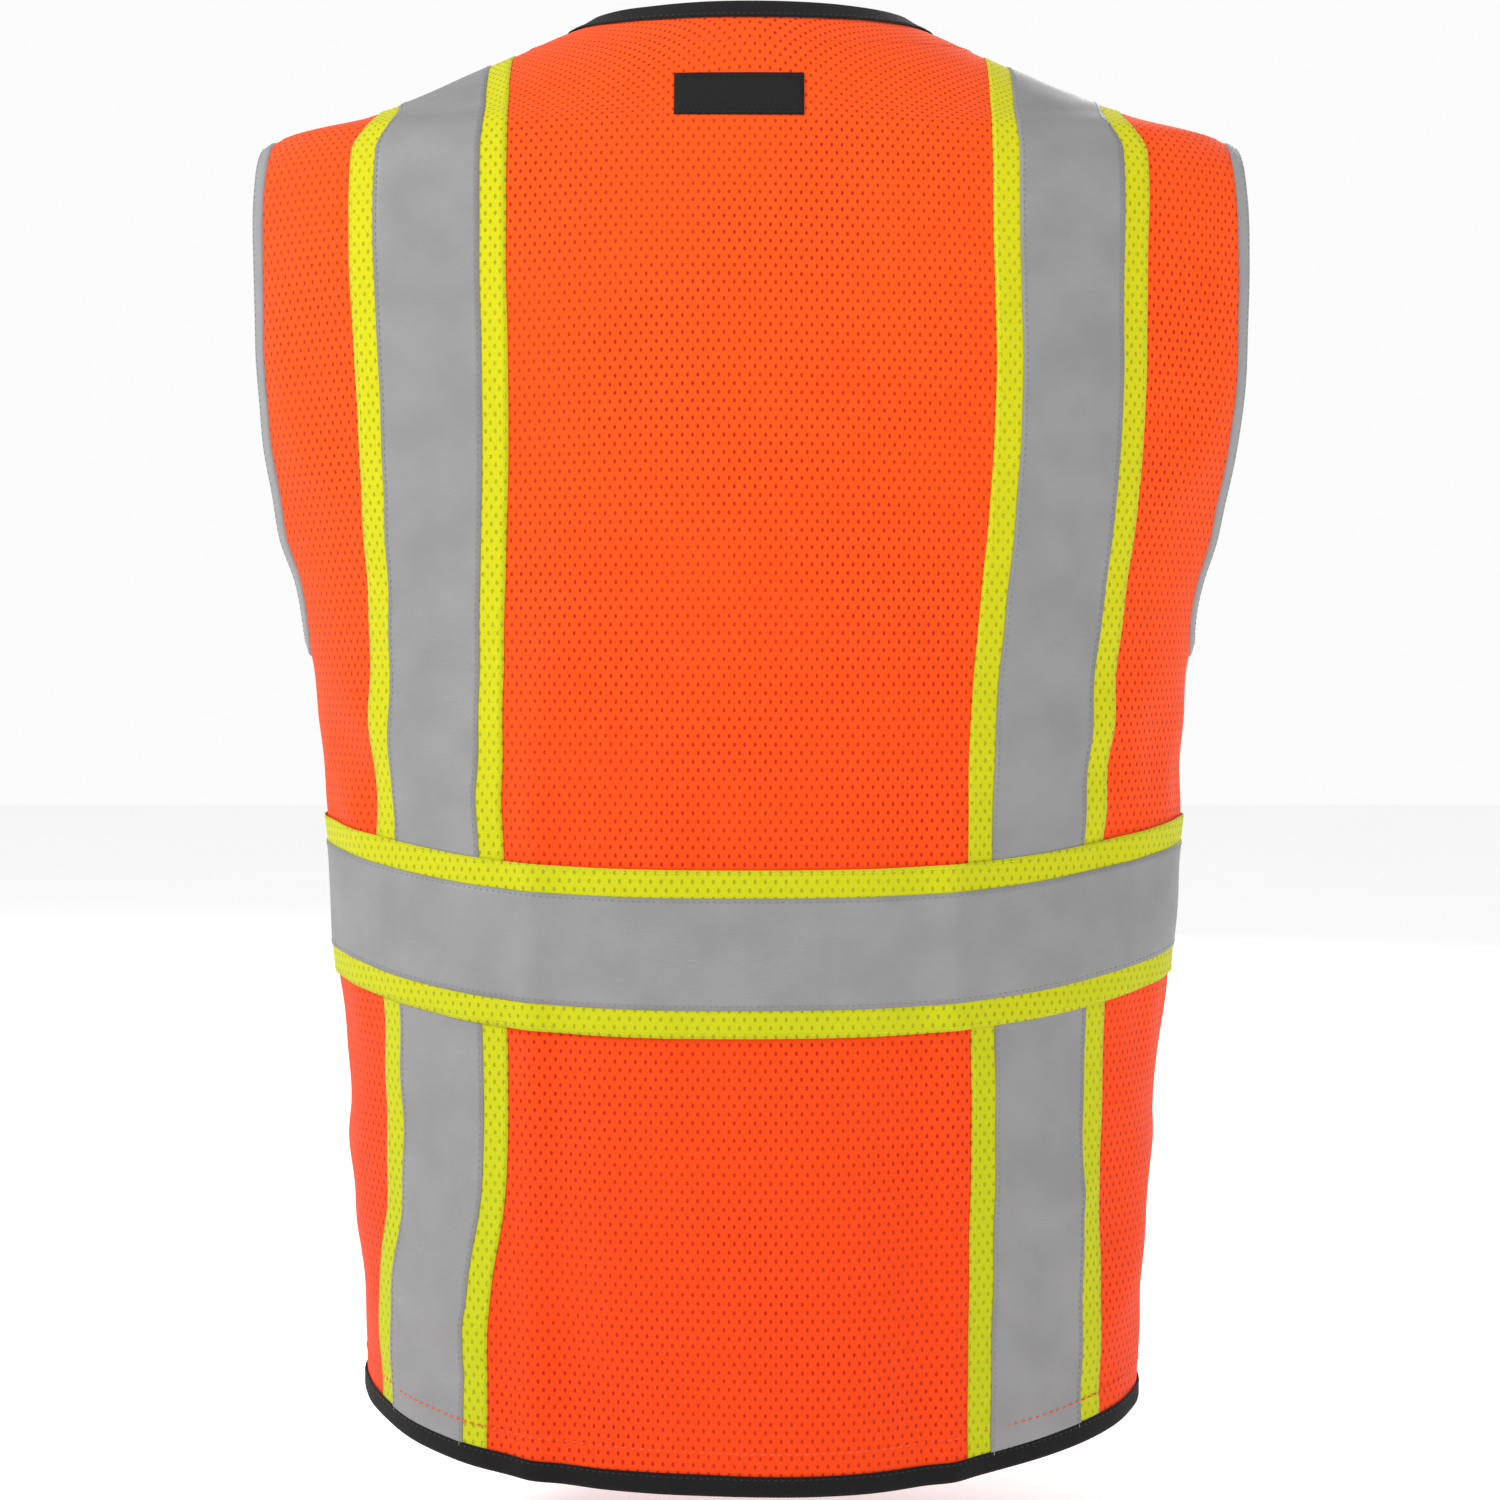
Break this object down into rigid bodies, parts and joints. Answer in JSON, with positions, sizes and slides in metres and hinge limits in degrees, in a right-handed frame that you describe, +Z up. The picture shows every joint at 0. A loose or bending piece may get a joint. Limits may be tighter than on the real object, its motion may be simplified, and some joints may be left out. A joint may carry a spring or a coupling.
{
  "type": "high visibility vest",
  "caption": "Zip-front high visibility safety vest in mesh, with reflective tape on contrast strips over the shoulders and around the waist, bound edges and pockets.",
  "frame": {"origin": "middle of the neck opening, level with the points where the neck edge crosses the shoulders", "axes": "+Z up, the front faces -Y, +X is the wearer's left"},
  "size_m": [0.4644, 0.2805, 0.6864],
  "materials": {
    "orange_mesh": "matte knitted mesh, fluorescent orange",
    "orange_cloth": "matte close-woven cloth, fluorescent orange",
    "orange_lining": "matte thin cloth, orange",
    "lime_cloth": "matte knitted mesh, fluorescent lime",
    "reflective_tape": "matte silver reflective coating on cloth",
    "reflective_binding": "matte grey bias binding",
    "black_facing": "matte black cloth",
    "black_label": "satin black woven label",
    "white_label": "satin white label",
    "zip_tape": "woven zip tape, orange",
    "zip_plastic": "moulded plastic, orange",
    "zip_metal": "painted cast slider, orange",
    "hook_and_loop": "hook and loop patch"
  },
  "bodies": {
    "vest_body": {"armhole_binding_left": "reflective_binding", "armhole_binding_right": "reflective_binding", "back_contrast_strip_left": "lime_cloth", "back_contrast_strip_right": "lime_cloth", "back_panel": "orange_mesh", "back_reflective_tape_left": "reflective_tape", "back_reflective_tape_right": "reflective_tape", "care_label": "white_label", "front_contrast_strip_left": "lime_cloth", "front_contrast_strip_right": "lime_cloth", "front_panel_left": "orange_mesh", "front_panel_right": "orange_mesh", "front_reflective_tape_left": "reflective_tape", "front_reflective_tape_right": "reflective_tape", "hem_binding_body": "black_facing", "hem_facing_body": "black_facing", "inner_pocket_left": "orange_lining", "inner_pocket_right": "orange_lining", "neck_binding": "black_facing", "neck_facing": "black_facing", "neck_label": "black_label", "waist_contrast_band_body": "lime_cloth", "waist_reflective_band_body": "reflective_tape"},
    "left_front": {"chest_pocket": "orange_cloth", "front_edge_left": "orange_mesh", "hem_binding_edge_left": "black_facing", "hem_facing_edge_left": "black_facing", "pen_pocket": "orange_cloth", "waist_contrast_band_edge_left": "lime_cloth", "waist_reflective_band_edge_left": "reflective_tape", "zip_insertion_pin": "zip_plastic", "zip_tape_left": "zip_tape", "zip_teeth_left": "zip_plastic", "zip_top_stop_left": "zip_plastic"},
    "right_front": {"front_edge_right": "orange_mesh", "hem_binding_edge_right": "black_facing", "hem_facing_edge_right": "black_facing", "radio_pocket": "orange_cloth", "radio_pocket_loop_patch": "hook_and_loop", "waist_contrast_band_edge_right": "lime_cloth", "waist_reflective_band_edge_right": "reflective_tape", "zip_retainer_box": "zip_plastic", "zip_tape_right": "zip_tape", "zip_teeth_right": "zip_plastic", "zip_top_stop_right": "zip_plastic"},
    "zip_slider": {"zip_slider_body": "zip_metal"},
    "zip_pull": {"zip_pull_tab": "zip_metal"},
    "radio_flap": {"radio_pocket_flap": "orange_cloth", "radio_flap_hook_patch": "hook_and_loop"}
  },
  "joints": [
    {"name": "left_front_open", "type": "hinge", "parent": "vest_body", "child": "left_front", "pos_m": [0.098, -0.1209, -0.43], "axis": [0, 0, 1], "range_deg": [0, 95]},
    {"name": "right_front_open", "type": "hinge", "parent": "vest_body", "child": "right_front", "pos_m": [-0.098, -0.1209, -0.43], "axis": [0, 0, -1], "range_deg": [0, 95]},
    {"name": "zip_slide", "type": "slide", "parent": "right_front", "child": "zip_slider", "axis": [0, 0, -1], "range_m": [0, 0.4562]},
    {"name": "zip_pull_lift", "type": "hinge", "parent": "zip_slider", "child": "zip_pull", "pos_m": [0, -0.1278, -0.1986], "axis": [-1, 0, 0], "range_deg": [0, 165]},
    {"name": "radio_flap_lift", "type": "hinge", "parent": "right_front", "child": "radio_flap", "pos_m": [-0.054, -0.12376, -0.206], "axis": [-0.9948, 0.1016, 0], "range_deg": [0, 85]}
  ]
}
